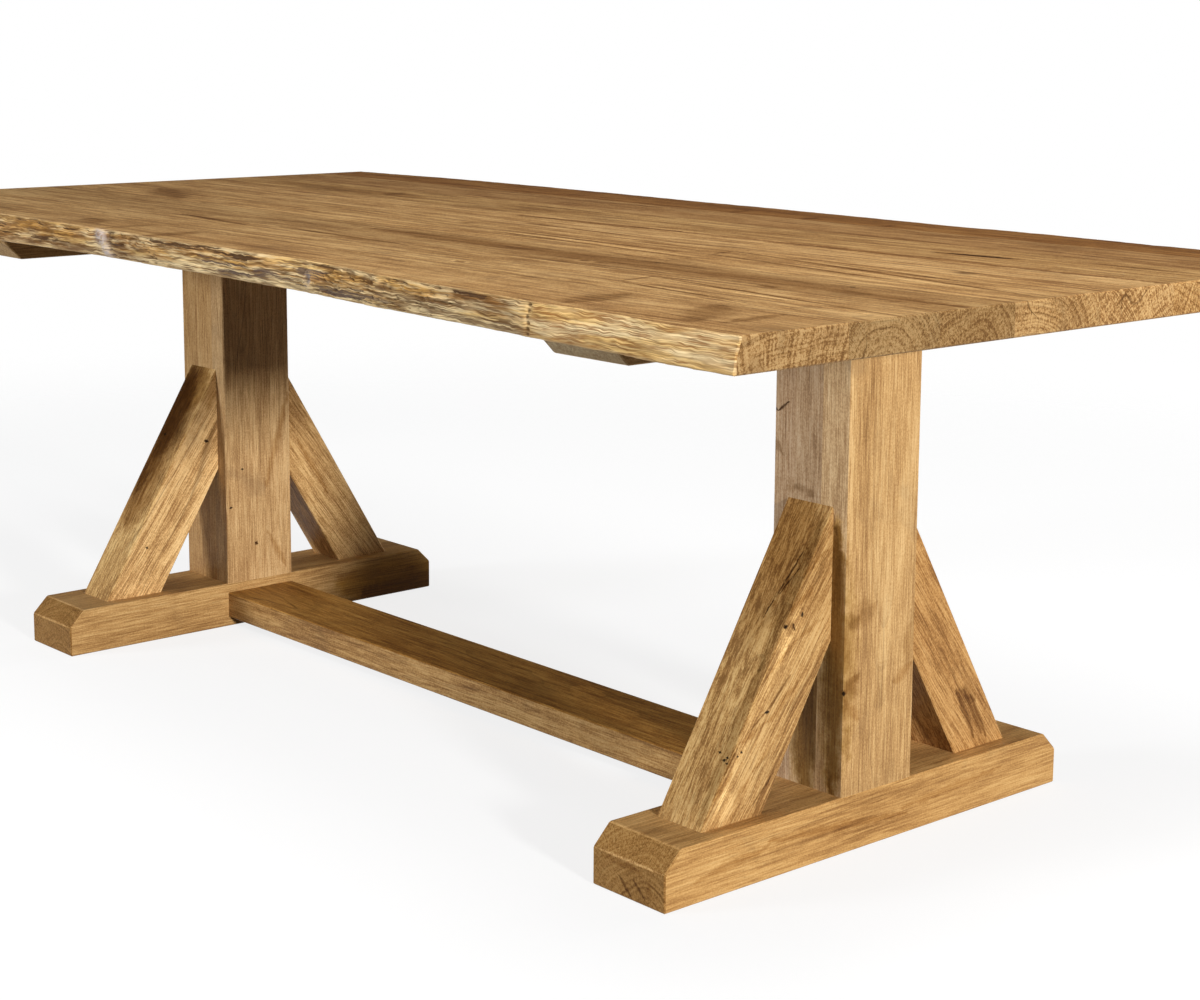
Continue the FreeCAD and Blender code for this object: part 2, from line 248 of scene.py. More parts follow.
def make_board_group():
    """Stained maple as a solid: growth rings round a pith, so faces and end grain agree."""
    group, given, result = new_group(
        "board_wood",
        [("Centre", "Vector"), ("Grain", "Vector"), ("Across", "Vector"), ("Pith", "Vector"),
         ("Seed", "Float"), ("Tint", "Color"), ("Streak", "Float"), ("Flame", "Float"),
         ("Figure", "Float"), ("Lines", "Float"), ("Fine", "Float"), ("Ends", "Color"),
         ("Broad", "Color")],
        [("Color", "Color"), ("Roughness", "Float"), ("Height", "Float")])
    g = Graph(group)
    spot = g.vector("SUBTRACT", g.node("TexCoord").outputs["Object"], given["Centre"])
    through = g.vector("CROSS_PRODUCT", given["Grain"], given["Across"])
    place = g.join(*(g.vector("DOT_PRODUCT", spot, axis)
                     for axis in (given["Grain"], given["Across"], through)))
    shifted = g.vector("ADD", place, g.shade((3.1, 1.7, 2.3), given["Seed"]))

    # The grain wanders, and the rings lie round the pith and taper along the trunk
    wander = g.vector("MULTIPLY", g.stray(shifted, (1.8, 7, 7)), (0.0, 0.050, 0.050))
    ripple = g.vector("MULTIPLY", g.stray(shifted, (8, 12, 12)), (0.0, 0.010, 0.010))
    ripple = g.shade(ripple, g.math("MULTIPLY", given["Flame"], given["Flame"]))
    wander = g.vector("ADD", wander, ripple)
    flow = g.vector("ADD", shifted, wander)
    from_pith = g.vector("SUBTRACT", g.vector("ADD", place, wander), given["Pith"])
    from_pith = g.vector("MULTIPLY", from_pith, (0.0, 1.0, 1.0))
    along, _, _ = g.split(shifted)
    radius = g.math("SUBTRACT", g.vector("LENGTH", from_pith), g.math("MULTIPLY", along, ring_taper))
    bands = g.line_noise(radius, 75.0, 3.0)
    thin_bands = g.line_noise(radius, 260.0, 2.0)
    count = g.math("ADD", g.math("MULTIPLY", radius, ring_count),
                   g.math("MULTIPLY", g.line_noise(radius, 35.0, 1.0), 4.0))
    ring = g.math("FRACT", count)
    late = g.math("POWER", ring, 6.0)
    seldom = g.step(g.noise(flow, (1.5, 14, 14), 2.0), 0.44, 0.60)

    # Streaks and flames along the grain, pores, and figure across it
    streaks = g.noise(flow, (3, 110, 110), 5.0, 0.70)
    flames = g.noise(flow, (2.4, 26, 26), 4.0, 0.60)
    pores = g.noise(shifted, (20, 560, 560), 2.0)
    grit = g.noise(shifted, (320, 420, 420), 2.0, 0.7)
    curl = g.noise(shifted, (60, 16, 16), 2.0, 0.5, 0.9)
    patches = g.noise(shifted, (3.5, 10, 10), 3.0)
    smudge = g.step(g.noise(shifted, (7, 9, 9), 4.0, 0.6, 0.6), 0.54, 0.74)
    hairs = g.math("MULTIPLY", g.thread(g.noise(flow, (5, 210, 210), 2.0), 0.035),
                   g.step(g.noise(shifted, (2.5, 18, 18), 2.0), 0.42, 0.56))
    lines = g.math("MULTIPLY", g.thread(g.noise(flow, (0.6, 10, 10), 1.5), 0.008),
                   g.step(g.noise(shifted, (1.4, 5, 5), 1.0), 0.54, 0.62))

    # End grain drinks in more stain, and shows its rings and rays
    normal = g.node("NewGeometry").outputs["Normal"]
    ends, broad = (g.step(g.math("ABSOLUTE", g.vector("DOT_PRODUCT", normal, axis)), low, low + 0.26)
                   for axis, low in ((given["Grain"], 0.40), (through, 0.50)))
    sides = g.math("SUBTRACT", 1.0, ends)
    _, pith_a, pith_b = g.split(from_pith)
    angle = g.math("ARCTAN2", pith_b, pith_a)
    rays = g.line_noise(angle, 90.0, 3.0)
    sparks = g.math("MULTIPLY", g.thread(g.line_noise(angle, 34.0, 1.0), 0.05),
                    g.step(g.noise(place, (40, 90, 90), 2.0), 0.46, 0.58))

    def weigh(value, weight):
        return g.math("MULTIPLY", g.math("SUBTRACT", value, 0.5), weight)

    def total(weighed):
        tone = 0.0
        for value, weight in weighed:
            tone = g.math("ADD", tone, weigh(value, weight))
        return tone

    side_tone = total(((flames, 1.00), (bands, 0.35), (curl, 0.20)))
    side_tone = g.math("MULTIPLY", side_tone, given["Flame"])
    side_tone = g.math("ADD", side_tone, total(((streaks, given["Streak"]), (patches, 0.58))))
    fine_tone = g.math("MULTIPLY", total(((pores, 1.00), (grit, 0.70))), given["Fine"])
    side_tone = g.math("ADD", side_tone, fine_tone)
    end_tone = total(((ring, 0.06), (bands, 0.44), (thin_bands, 0.69), (rays, 0.94), (patches, 0.56),
                      (grit, 1.70)))
    end_tone = g.math("MULTIPLY", end_tone, given["Fine"])
    end_tone = g.math("ADD", end_tone, g.math("MULTIPLY", sparks, 0.28))
    tone = g.math("ADD", g.math("MULTIPLY", side_tone, sides), g.math("MULTIPLY", end_tone, ends))
    colour = g.ramp(g.math("ADD", tone, 0.52), [(0.08, wood_dark), (0.40, wood_brown),
                                                (0.60, wood_gold), (0.92, wood_pale)])
    colour = g.mix(g.math("MULTIPLY", smudge, given["Figure"]), colour, smudge_brown)
    often = g.math("ADD", g.math("MULTIPLY", seldom, 0.42), g.math("MULTIPLY", ends, 0.16))
    late = g.math("MULTIPLY", late, g.math("ADD", often, 0.10))
    for mask, share in ((late, 1.0), (hairs, 0.50), (lines, 1.0)):
        share = g.math("MULTIPLY", given["Lines"], share)
        colour = g.mix(g.math("MULTIPLY", mask, share), colour, line_brown)
    colour = g.mix(1.0, colour, given["Tint"], "MULTIPLY")
    # Painted light and shade: a board's broad faces are lightened or darkened by their own filter
    colour = g.mix(broad, colour, given["Broad"], "MULTIPLY")
    colour = g.mix(ends, colour, given["Ends"], "MULTIPLY")

    rough = g.math("ADD", 0.46, weigh(streaks, 0.22))
    rough = g.math("ADD", rough, g.math("MULTIPLY", ends, 0.12))
    height = g.math("ADD", g.math("MULTIPLY", pores, 0.5), g.math("MULTIPLY", streaks, 0.5))
    height = g.math("SUBTRACT", height, g.math("MULTIPLY", lines, 0.5))
    for name, value in (("Color", colour), ("Roughness", rough), ("Height", height)):
        g.feed(result[name], value)
    return group


def make_mark_group():
    """One tapered stroke that filters a colour, from a place to another: a stain, crack or hole."""
    group, given, result = new_group(
        "mark",
        [("Color", "Color"), ("Spot", "Vector"), ("Start", "Vector"), ("Stop", "Vector"),
         ("Reach", "Float"), ("Filter", "Color")],
        [("Color", "Color")])
    g = Graph(group)
    run = g.vector("SUBTRACT", given["Stop"], given["Start"])
    aside = g.vector("SUBTRACT", given["Spot"], given["Start"])
    share = g.clamped("DIVIDE", g.vector("DOT_PRODUCT", aside, run), g.vector("DOT_PRODUCT", run, run))
    apart = g.vector("LENGTH", g.vector("SUBTRACT", aside, g.shade(run, share)))
    from_middle = g.math("SUBTRACT", share, 0.5)
    taper = g.math("SUBTRACT", 1.0, g.math("MULTIPLY", g.math("MULTIPLY", from_middle, from_middle), 2.6))
    apart = g.math("DIVIDE", apart, g.math("MULTIPLY", given["Reach"], taper))
    mask = g.step(apart, 0.15, 1.0, 1.0, 0.0)
    g.feed(result["Color"], g.mix(mask, given["Color"], given["Filter"], "MULTIPLY"))
    return group


board_group = make_board_group()
mark_group = make_mark_group()
along_x, along_y, along_z = Vector((1, 0, 0)), Vector((0, 1, 0)), Vector((0, 0, 1))


def board_nodes(g, name, grain, across, pith, seed, tint=(1, 1, 1), streak=0.55, flame=0.75,
                figure=0.35, lines=0.6, fine=1.0, ends=0.72, broad=(1, 1, 1)):
    """Group node that gives one board its own piece of the tree."""
    if isinstance(ends, float):
        ends = (ends, ends, ends)
    low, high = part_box(name)
    given = {"Centre": (low + high) / 2, "Grain": grain, "Across": across, "Pith": (0, *pith),
             "Seed": seed, "Tint": tint, "Streak": streak, "Flame": flame, "Figure": figure,
             "Lines": lines, "Fine": fine, "Ends": ends, "Broad": broad}
    return g.node("Group", given, node_tree=board_group).outputs


def finish_material(g, colour, roughness, height, bump=wood_bump, strength=0.8, shine=lacquer_shine):
    normal = g.node("Bump", {"Height": height, "Distance": bump, "Strength": strength})
    shader = g.node("BsdfPrincipled", {"Base Color": colour, "Roughness": roughness,
                                       "Normal": normal.outputs[0], **shine})
    g.feed(g.node("OutputMaterial").inputs["Surface"], shader.outputs[0])


def add_object(name, data):
    made = bpy.data.objects.new(name, data)
    bpy.context.scene.collection.objects.link(made)
    return made


def new_material(name):
    made = bpy.data.materials.new(name)
    made.use_nodes = True
    made.node_tree.nodes.clear()
    return made, Graph(made.node_tree)


# Kinds of mark: what it filters the wood's colour by, and how far its outline strays. Not all are the
# wood's own: some paint shade, darkening and warming places where shadows fall; one is a dark stain on
# the top planks and painted shade on the far brace's slope; the strongest lightening is a painted
# highlight along arrises.
mark_kinds = {"smudge": ((0.60, 0.54, 0.47), 0.030), "faint": ((0.78, 0.73, 0.66), 0.034),
              "stain_and_shade": ((0.62, 0.54, 0.46), 0.040), "painted_shade": ((0.42, 0.345, 0.255), 0.030),
              "flame": ((0.76, 0.68, 0.58), 0.016), "streak": ((0.44, 0.36, 0.28), 0.007),
              "crack": ((0.13, 0.08, 0.05), 0.007), "hole": ((0.04, 0.03, 0.03), 0.003),
              "pale": ((1.26, 1.32, 1.38), 0.010), "painted_highlight": ((1.8, 2.0, 2.5), 0.0004),
              "strip": ((0.64, 0.61, 0.56), 0.010), "painted_umber_shade": ((0.72, 0.63, 0.48), 0.030),
              "painted_shade_warmth": ((1.00, 0.94, 0.64), 0.030)}


def lay_marks(g, colour, marks):
    """Marks over a colour, each a kind, two places in metres and a reach on either side."""
    if not marks:
        return colour
    spot = g.node("TexCoord").outputs["Object"]
    stray = g.stray(spot, (55, 55, 55), 3.0, 0.6)
    for kind, start, stop, reach in marks:
        tint, ragged = mark_kinds[kind]
        moved = g.vector("ADD", spot, g.shade(stray, ragged))
        given = {"Color": colour, "Spot": moved, "Start": start, "Stop": stop, "Reach": reach,
                 "Filter": tint}
        colour = g.node("Group", given, node_tree=mark_group).outputs["Color"]
    return colour


def board_material(name, **board):
    made, g = new_material(name + "_wood")
    wood = board_nodes(g, name, **board)
    finish_material(g, lay_marks(g, wood["Color"], board_marks.get(name)), wood["Roughness"],
                    wood["Height"])
    return made


def dress(name, material):
    slots = nodes[name].data.materials
    slots.clear()
    slots.append(material)


# Boards of the top
top_boards = {
    "top_plank_2": dict(pith=(-0.017, -0.034), seed=2.0, tint=(1.00, 0.97, 0.92), lines=0.7, ends=0.55),
    "top_plank_3": dict(pith=(-0.004, -0.048), seed=3.0, tint=(0.86, 0.82, 0.76), lines=0.5, ends=0.64),
    "top_plank_4": dict(pith=(-0.060, -0.085), seed=4.0, tint=(1.04, 0.99, 0.92), lines=0.9, ends=0.76),
    "top_plank_5": dict(pith=(0.170, -0.210), seed=5.0, tint=(1.08, 1.03, 0.97), lines=0.7, ends=0.84),
    "top_plank_6": dict(pith=(-0.150, -0.220), seed=6.0, tint=(0.92, 0.86, 0.77), lines=0.6, ends=1.00),
    "top_plank_7": dict(pith=(-0.040, -0.060), seed=7.0, tint=(0.75, 0.66, 0.58), lines=0.5, ends=1.00)}


def on_top(kind, start_x, start_y, stop_x, stop_y, reach):
    """Mark on the upper face of the top."""
    level = cad_box[1][2]
    return kind, (start_x, start_y, level), (stop_x, stop_y, level), reach


def on_side(face, kind, start_y, start_z, stop_y, stop_z, reach):
    """Mark on a face that looks along X."""
    return kind, (face, start_y, start_z), (face, stop_y, stop_z), reach


def on_front(face, kind, start_x, start_z, stop_x, stop_z, reach):
    """Mark on a face that looks along Y."""
    return kind, (start_x, face, start_z), (stop_x, face, stop_z), reach


# Faces that carry marks: sides of each trestle and of its braces, fronts of the posts and feet
near_side, brace_side, far_side, far_brace_side = (
    partial(on_side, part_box(name)[1].x)
    for name in ("right_foot", "right_front_brace", "left_foot", "left_front_brace"))
post_front, foot_end = (partial(on_front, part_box(name)[0].y)
                        for name in ("right_post_core_board", "right_foot"))

board_marks = {
    "front_live_edge_plank": [
        on_top("smudge", -0.318, -0.400, -0.312, -0.500, 0.018),
        on_top("smudge", -0.175, -0.400, -0.165, -0.510, 0.036),
        on_top("smudge", -0.470, -0.430, -0.400, -0.460, 0.045),
        on_top("smudge", 0.785, -0.430, 0.800, -0.530, 0.042),
        on_top("smudge", 0.930, -0.420, 1.000, -0.530, 0.046),
        on_top("smudge", 1.030, -0.415, 1.035, -0.520, 0.016)],
    "top_plank_2": [
        on_top("streak", -0.460, -0.272, -0.230, -0.298, 0.009),
        on_top("streak", -0.172, -0.272, 0.172, -0.290, 0.011),
        on_top("streak", 0.690, -0.285, 1.117, -0.333, 0.008),
        on_top("pale", 0.700, -0.302, 1.100, -0.346, 0.010),
        on_top("streak", 0.690, -0.352, 0.930, -0.380, 0.007),
        on_top("streak", 0.668, -0.270, 0.680, -0.345, 0.006),
        on_top("pale", 0.368, -0.362, 0.402, -0.364, 0.020),
        on_top("streak", 0.376, -0.360, 0.396, -0.366, 0.011)],
    "top_plank_3": [
        on_top("pale", 0.462, -0.226, 0.496, -0.232, 0.020),
        on_top("streak", 0.472, -0.226, 0.486, -0.232, 0.011),
        on_top("streak", 0.815, -0.246, 0.850, -0.250, 0.008),
        on_top("stain_and_shade", -0.060, -0.180, 1.100, -0.220, 0.060),
        on_top("hole", 0.898, -0.172, 0.904, -0.172, 0.006),
        on_top("hole", 0.556, -0.174, 0.562, -0.174, 0.006)],
    "top_plank_4": [
        on_top("streak", 0.067, -0.040, 0.472, -0.055, 0.008),
        on_top("pale", 0.075, -0.052, 0.460, -0.072, 0.009),
        on_top("streak", 0.082, -0.064, 0.547, -0.093, 0.008),
        on_top("streak", 0.517, 0.012, 1.087, -0.073, 0.009),
        on_top("streak", 0.690, 0.005, 1.000, -0.030, 0.007),
        on_top("pale", 0.600, -0.022, 1.040, -0.080, 0.009),
        on_top("streak", 0.517, -0.040, 0.892, -0.080, 0.008),
        on_top("streak", 0.512, 0.010, 0.520, -0.036, 0.006),
        on_top("smudge", -0.060, 0.006, -0.044, -0.022, 0.024),
        on_top("smudge", -0.950, -0.020, -0.740, -0.110, 0.050)],
    "top_plank_5": [
        on_top("streak", 0.007, 0.064, 0.277, 0.048, 0.008),
        on_top("streak", -0.110, 0.142, 0.260, 0.152, 0.018),
        on_top("stain_and_shade", 0.240, 0.152, 1.110, 0.156, 0.020)],
    "top_plank_6": [
        on_top("streak", 0.690, 0.220, 0.822, 0.238, 0.019),
        on_top("crack", 0.715, 0.226, 0.812, 0.236, 0.011),
        on_top("streak", 0.922, 0.277, 1.085, 0.277, 0.008),
        on_top("streak", -0.280, 0.277, -0.060, 0.277, 0.010),
        on_top("smudge", -0.605, 0.270, -0.580, 0.220, 0.030),
        on_top("faint", -0.980, 0.250, -0.500, 0.230, 0.070)],
    "back_live_edge_plank": [
        on_top("smudge", 0.050, 0.495, 0.058, 0.455, 0.026),
        on_top("smudge", 0.212, 0.490, 0.220, 0.455, 0.026),
        on_top("smudge", 0.380, 0.485, 0.388, 0.455, 0.022)],
    "right_post_inner_board": [
        post_front("crack", 0.674, 0.576, 0.680, 0.572, 0.003),
        post_front("crack", 0.680, 0.572, 0.700, 0.586, 0.0032),
        post_front("smudge", 0.674, 0.530, 0.690, 0.519, 0.010),
        post_front("faint", 0.700, 0.476, 0.720, 0.470, 0.014)],
    "right_post_core_board": [
        # Painted shade: darker and warmer low on the post's front, where the brace's shadow falls
        post_front("painted_shade", 0.740, 0.080, 0.740, 0.420, 0.060),
        post_front("painted_shade_warmth", 0.740, 0.070, 0.740, 0.430, 0.080),
        post_front("smudge", 0.706, 0.474, 0.749, 0.469, 0.010)],
    "right_post_outer_board": [
        # Painted shade: darker and warmer on the strip beside the brace, where the brace's shadow falls
        post_front("painted_shade", 0.791, 0.080, 0.791, 0.430, 0.036),
        post_front("painted_shade_warmth", 0.788, 0.070, 0.788, 0.440, 0.040),
        ("hole", (0.807, -0.067, 0.215), (0.807, -0.067, 0.220), 0.0052),
        near_side("flame", -0.064, 0.218, -0.043, 0.238, 0.016),
        near_side("faint", -0.062, 0.310, -0.010, 0.328, 0.026),
        near_side("faint", -0.062, 0.306, -0.040, 0.318, 0.022),
        near_side("flame", 0.029, 0.214, 0.060, 0.235, 0.014),
        near_side("faint", 0.050, 0.240, 0.064, 0.300, 0.022),
        near_side("flame", -0.064, 0.206, -0.041, 0.178, 0.014),
        near_side("faint", -0.062, 0.200, -0.048, 0.240, 0.024)],
    "right_front_brace": [
        ("faint", (0.735, -0.072, 0.452), (0.735, -0.158, 0.307), 0.115),
        ("faint", (0.732, -0.068, 0.460), (0.732, -0.112, 0.385), 0.085),
        ("crack", (0.763, -0.100, 0.405), (0.741, -0.150, 0.320), 0.0028),
        ("crack", (0.767, -0.112, 0.385), (0.748, -0.138, 0.342), 0.0024),
        ("stain_and_shade", (0.770, -0.090, 0.421), (0.750, -0.148, 0.324), 0.009),
        # Darker strips down the slope beside the arris, and on the side a paler stroke along the arris:
        # painted highlight
        ("strip", (0.772, -0.290, 0.085), (0.769, -0.180, 0.271), 0.015),
        ("strip", (0.769, -0.185, 0.263), (0.772, -0.080, 0.440), 0.017),
        brace_side("pale", -0.276, 0.086, -0.075, 0.423, 0.011),
        brace_side("pale", -0.262, 0.090, -0.250, 0.120, 0.028),
        brace_side("flame", -0.137, 0.362, -0.079, 0.405, 0.006),
        brace_side("flame", -0.147, 0.333, -0.100, 0.360, 0.008),
        brace_side("pale", -0.165, 0.268, -0.125, 0.325, 0.030),
        brace_side("flame", -0.185, 0.255, -0.130, 0.297, 0.007),
        brace_side("flame", -0.130, 0.297, -0.082, 0.318, 0.006),
        brace_side("streak", -0.217, 0.189, -0.184, 0.211, 0.003),
        brace_side("streak", -0.184, 0.211, -0.140, 0.251, 0.004),
        brace_side("flame", -0.233, 0.177, -0.181, 0.197, 0.007),
        brace_side("flame", -0.181, 0.197, -0.128, 0.237, 0.009),
        brace_side("streak", -0.258, 0.140, -0.233, 0.173, 0.003),
        brace_side("flame", -0.275, 0.113, -0.242, 0.144, 0.008),
        brace_side("flame", -0.246, 0.095, -0.206, 0.136, 0.006),
        brace_side("flame", -0.206, 0.136, -0.159, 0.177, 0.006),
        brace_side("streak", -0.210, 0.090, -0.168, 0.128, 0.003),
        ("hole", (0.760, -0.243, 0.166), (0.760, -0.243, 0.164), 0.005),
        ("hole", (0.771, -0.247, 0.160), (0.772, -0.247, 0.157), 0.0055),
        ("hole", (0.778, -0.248, 0.157), (0.778, -0.249, 0.155), 0.0045),
        ("hole", (0.775, -0.244, 0.163), (0.775, -0.245, 0.161), 0.0045),
        brace_side("hole", -0.121, 0.330, -0.122, 0.324, 0.004),
        brace_side("crack", -0.139, 0.318, -0.134, 0.308, 0.0046),
        brace_side("hole", -0.154, 0.315, -0.149, 0.317, 0.005),
        brace_side("smudge", -0.150, 0.315, -0.135, 0.315, 0.014),
        brace_side("hole", -0.186, 0.210, -0.179, 0.210, 0.0042),
        brace_side("hole", -0.226, 0.168, -0.227, 0.166, 0.0042),
        brace_side("hole", -0.233, 0.164, -0.233, 0.162, 0.0036)],
    "right_back_brace": [
        brace_side("smudge", 0.195, 0.165, 0.225, 0.148, 0.022),
        brace_side("streak", 0.188, 0.168, 0.229, 0.092, 0.0075),
        brace_side("streak", 0.204, 0.165, 0.244, 0.094, 0.007),
        brace_side("streak", 0.218, 0.156, 0.256, 0.088, 0.0065)],
    "left_front_brace": [
        # Painted shade: the slope, and the top of the side, darker and warmer towards the top, in the
        # shade under the table top
        ("stain_and_shade", (-0.760, -0.090, 0.430), (-0.760, -0.220, 0.205), 0.105),
        ("painted_shade", (-0.770, -0.075, 0.447), (-0.770, -0.190, 0.255), 0.080),
        ("painted_shade", (-0.755, -0.060, 0.475), (-0.755, -0.150, 0.322), 0.085),
        ("faint", (-0.745, -0.160, 0.304), (-0.745, -0.225, 0.195), 0.065),
        ("painted_umber_shade", (-0.730, -0.070, 0.455), (-0.730, -0.105, 0.397), 0.070),
        ("flame", (-0.735, -0.100, 0.405), (-0.748, -0.240, 0.170), 0.006),
        ("streak", (-0.712, -0.160, 0.303), (-0.716, -0.230, 0.185), 0.003),
        far_brace_side("hole", -0.094, 0.336, -0.087, 0.334, 0.0055),
        ("hole", (-0.763, -0.136, 0.345), (-0.763, -0.137, 0.343), 0.008),
        far_brace_side("hole", -0.214, 0.161, -0.215, 0.159, 0.006)],
    "left_back_brace": [
        far_brace_side("flame", 0.096, 0.322, 0.166, 0.207, 0.008)],
    "left_post_inner_board": [
        far_side("hole", -0.034, 0.282, -0.034, 0.280, 0.006),
        far_side("hole", -0.059, 0.215, -0.059, 0.213, 0.0065),
        far_side("crack", -0.010, 0.144, -0.005, 0.141, 0.006),
        far_side("flame", 0.065, 0.408, 0.015, 0.244, 0.012),
        far_side("flame", 0.018, 0.159, 0.053, 0.096, 0.010)],
    "right_foot": [
        near_side("flame", -0.200, 0.050, 0.062, 0.028, 0.011),
        near_side("flame", 0.050, 0.036, 0.257, 0.048, 0.009),
        near_side("flame", -0.330, 0.028, -0.200, 0.044, 0.010),
        foot_end("streak", 0.724, 0.026, 0.748, 0.004, 0.0045),
        foot_end("streak", 0.751, 0.028, 0.772, 0.008, 0.004),
        foot_end("flame", 0.774, 0.034, 0.786, 0.010, 0.006),
        foot_end("flame", 0.690, 0.044, 0.770, 0.042, 0.007),
        # Painted highlight along the arris between the bevel and the end
        foot_end("painted_highlight", 0.676, 0.050, 0.806, 0.050, 0.003)],
    "left_foot": [
        # Painted shade: the side darker and warmer towards its back end, deepening the near trestle's
        # shadow
        far_side("painted_umber_shade", 0.180, 0.040, 0.390, 0.034, 0.070),
        far_side("painted_shade_warmth", 0.180, 0.030, 0.390, 0.030, 0.080),
        far_side("painted_shade", 0.230, 0.010, 0.400, 0.012, 0.048),
        # Painted highlight along the arris between the bevel and the end
        foot_end("painted_highlight", -0.806, 0.050, -0.676, 0.050, 0.003)]}


def dress_top():
    for name, board in top_boards.items():
        dress(name, board_material(name, grain=along_x, across=along_y, **top_figure, **board))


# Base: for each board of a trestle its grain, the direction across it, and its pith
trestle_boards = {
    "foot": dict(foot_figure, grain=along_y, across=along_x, pith=(0.03, 0.07)),
    "top_bearer": dict(post_figure, grain=along_y, across=along_x, pith=(0.02, 0.05)),
    "post_outer_board": dict(post_figure, grain=along_z, across=along_y, pith=(0.02, 0.10)),
    "post_core_board": dict(post_figure, grain=along_z, across=along_y, pith=(0.05, -0.06)),
    "post_inner_board": dict(post_figure, grain=along_z, across=along_y, pith=(-0.04, 0.08))}

# The tint of each board of the base, and what filters its end grain and its broad faces. Partly each
# board's own tone, partly painted light and shade: several of the far (left) trestle's boards are tinted
# lighter to make up for the weaker key light there, the right bearer's strong tint lights its side in the
# shade of the overhang, and the broad-face filters lighten or darken single faces, such as the near
# foot's top and the far front brace's slope.
base_colours = {
    "right_foot": dict(tint=(1.02, 0.95, 0.81), ends=(0.58, 0.53, 0.45), broad=(1.22, 1.25, 1.28)),
    "left_foot": dict(tint=(1.06, 1.04, 0.98), ends=(0.53, 0.455, 0.345)),
    "right_top_bearer": dict(tint=(1.45, 1.54, 1.66), ends=(0.54, 0.60, 0.70)),
    "left_top_bearer": dict(tint=(1.00, 1.00, 0.95), ends=0.80),
    "right_post_outer_board": dict(tint=(1.15, 1.28, 1.62), broad=(0.95, 0.87, 0.70)),
    "left_post_outer_board": dict(tint=(0.86, 0.83, 0.80)),
    "right_post_core_board": dict(tint=(0.84, 0.93, 1.28)),
    "left_post_core_board": dict(tint=(0.90, 0.87, 0.84)),
    "right_post_inner_board": dict(tint=(0.84, 0.92, 1.28)),
    "left_post_inner_board": dict(tint=(1.03, 1.07, 1.19), broad=(1.11, 1.11, 1.11)),
    "right_front_brace": dict(tint=(0.97, 0.93, 0.84), broad=(1.04, 1.05, 1.02)),
    "left_front_brace": dict(tint=(1.42, 1.46, 1.50), broad=(0.82, 0.81, 0.73)),
    "right_back_brace": dict(tint=(0.92, 0.81, 0.67)),
    "left_back_brace": dict(tint=(1.15, 1.15, 1.13)),
    "stretcher": dict(tint=(0.87, 0.81, 0.70), broad=(0.92, 0.81, 0.52))}


def brace_grain(name, facing):
    """Direction of a brace's grain, a little off its length."""
    low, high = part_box(name)
    slope = Vector((0, -facing * (high.y - low.y), high.z - low.z)).normalized()
    slope.rotate(Matrix.Rotation(facing * brace_grain_slope, 3, "X"))
    return slope


def dress_base():
    """Each board of the two trestles gets its own tree, and the two sides differ."""
    seed = 20.0
    for side in ("right", "left"):
        for part, board in trestle_boards.items():
            name = side + "_" + part
            dress(name, board_material(name, seed=seed, **dict(board, **base_colours[name])))
            seed += 1.0
        for face, facing in (("front", -1), ("back", 1)):
            name = side + "_" + face + "_brace"
            figure = bold_brace_figure if name == "right_front_brace" else brace_figure
            dress(name, board_material(name, grain=brace_grain(name, facing), across=along_x,
                                       pith=(0.03, 0.06), seed=seed, **figure,
                                       **base_colours[name]))
            seed += 1.0
        name = side + "_brace_dowels"
        dress(name, board_material(name, grain=along_y, across=along_x, pith=(0.02, 0.03),
                                   seed=seed))
    dress("stretcher", board_material("stretcher", grain=along_x, across=along_y,
                                      pith=(0.02, -0.08), seed=50.0, **stretcher_figure,
                                      **base_colours["stretcher"]))


# Live edges
def rise(value, low, high):
    """Smooth step from 0 to 1 between two levels."""
    share = min(max((value - low) / (high - low), 0.0), 1.0)
    return share * share * (3 - 2 * share)


def bell(value, spread):
    return math.exp(-(value / spread) ** 2)


def waver(x, y, seed, octaves=1):
    """Noise from about -1 to 1 over a surface."""
    return noise.fractal(Vector((x, y, seed)), 1.0, 2.0, octaves)


